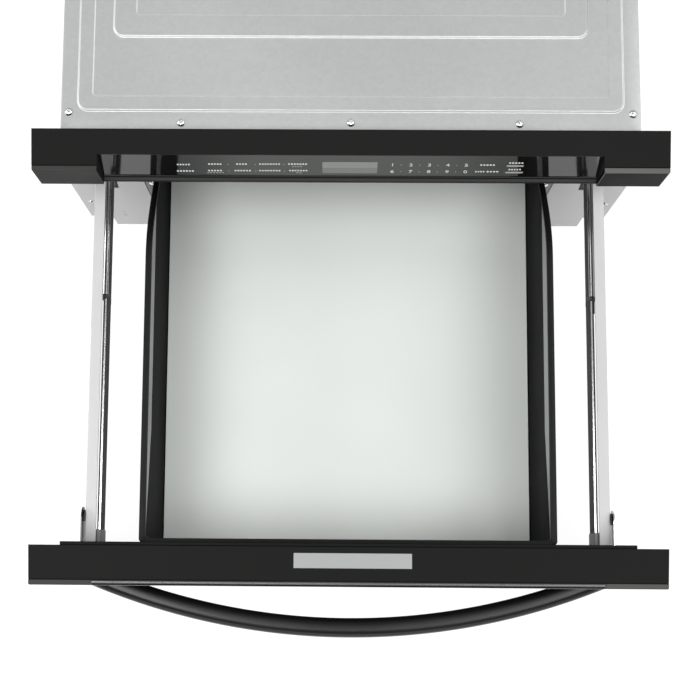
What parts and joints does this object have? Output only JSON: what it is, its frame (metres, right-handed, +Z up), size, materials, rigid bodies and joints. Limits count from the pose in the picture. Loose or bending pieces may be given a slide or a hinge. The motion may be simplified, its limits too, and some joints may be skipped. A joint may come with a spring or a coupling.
{
  "type": "built-in microwave drawer oven",
  "caption": "Built-in microwave oven whose bin slides out of the front like a drawer, with a bow handle, slanted touch panel, telescopic slides and a rack and pinion drive.",
  "frame": {"origin": "centre of the cabinet's underside", "axes": "+Z up, -Y out of the front where the drawer opens, +X to the right seen from the front"},
  "size_m": [0.6064, 1.0256, 0.3977],
  "materials": {
    "black_steel": "satin black stainless",
    "galvanised": "galvanised sheet",
    "pale_paint": "pale coated sheet",
    "cavity_enamel": "dark grey enamel",
    "black_plastic": "satin",
    "grey_plastic": "satin",
    "white_plastic": "satin",
    "black_glass": "gloss black",
    "floor_glass": "pale ceramic glass",
    "bright_steel": "bright",
    "zinc_steel": "zinc plated",
    "copper": "enamelled copper and steel laminations",
    "board_green": "circuit board",
    "mica": "pressed mica sheet"
  },
  "bodies": {
    "cabinet": {"top_cover": "galvanised", "back_panel": "galvanised", "base_pan": "pale_paint", "front_frame": "pale_paint", "header_shell": "black_steel", "control_glass": "black_glass", "display_window": "black_glass", "control_board": "board_green", "cavity_liner": "cavity_enamel", "stirrer_cover": "mica", "waveguide": "galvanised", "stirrer_motor": "zinc_steel", "magnetron": "zinc_steel", "transformer": "copper", "capacitor": "zinc_steel", "mains_filter": "board_green", "fan_housing": "black_plastic", "cavity_lamp": "zinc_steel", "drive_bracket": "zinc_steel", "drive_gearbox": "white_plastic", "drive_motor": "zinc_steel", "rack_guide": "white_plastic", "cord_gland": "black_plastic", "left_side_panel": "galvanised", "left_header_plate": "black_steel", "left_cabinet_rail": "zinc_steel", "left_slot_guard": "black_plastic", "left_interlock_switch": "black_plastic", "right_side_panel": "galvanised", "right_header_plate": "black_steel", "right_cabinet_rail": "zinc_steel", "right_slot_guard": "black_plastic", "right_interlock_switch": "black_plastic"},
    "drawer": {"drawer_shell": "black_steel", "front_fascia": "black_steel", "front_trim_strip": "bright_steel", "inner_panel": "black_plastic", "bow_handle": "black_steel", "bin": "black_plastic", "glass_floor": "floor_glass", "drive_rack": "white_plastic", "left_side_arm": "pale_paint", "left_drawer_rail": "pale_paint", "left_rail_block": "grey_plastic", "left_front_bracket": "bright_steel", "left_bracket_cap": "black_plastic", "right_side_arm": "pale_paint", "right_drawer_rail": "pale_paint", "right_rail_block": "grey_plastic", "right_front_bracket": "bright_steel", "right_bracket_cap": "black_plastic"},
    "left_middle": {"left_middle_rail": "bright_steel", "left_rail_stop": "black_plastic"},
    "right_middle": {"right_middle_rail": "bright_steel", "right_rail_stop": "black_plastic"},
    "pinion": {"drive_pinion": "white_plastic"},
    "fan": {"fan_impeller": "grey_plastic"},
    "stirrer": {"stirrer_blade": "bright_steel"}
  },
  "joints": [
    {"name": "drawer_slide", "type": "slide", "parent": "cabinet", "child": "drawer", "axis": [0, 1, 0], "range_m": [0, 0.3875]},
    {"name": "left_middle_slide", "type": "slide", "parent": "cabinet", "child": "left_middle", "axis": [0, 1, 0], "range_m": [0, 0.19375]},
    {"name": "right_middle_slide", "type": "slide", "parent": "cabinet", "child": "right_middle", "axis": [0, 1, 0], "range_m": [0, 0.19375]},
    {"name": "pinion_spin", "type": "hinge", "parent": "cabinet", "child": "pinion", "pos_m": [-0.1, -0.25025, 0.0687], "axis": [1, 0, 0], "range_deg": [-1390, 0]},
    {"name": "fan_spin", "type": "hinge", "parent": "cabinet", "child": "fan", "pos_m": [-0.16, 0.25, 0.082], "axis": [0, 1, 0], "continuous": true},
    {"name": "stirrer_spin", "type": "hinge", "parent": "cabinet", "child": "stirrer", "pos_m": [0, -0.03425, 0.341], "axis": [0, 0, 1], "continuous": true}
  ],
  "couplings": [
    {"joint": "left_middle_slide", "follows": "drawer_slide", "ratio": 0.5},
    {"joint": "right_middle_slide", "follows": "drawer_slide", "ratio": 0.5},
    {"joint": "pinion_spin", "follows": "drawer_slide", "rad_per_m": -62.5}
  ]
}
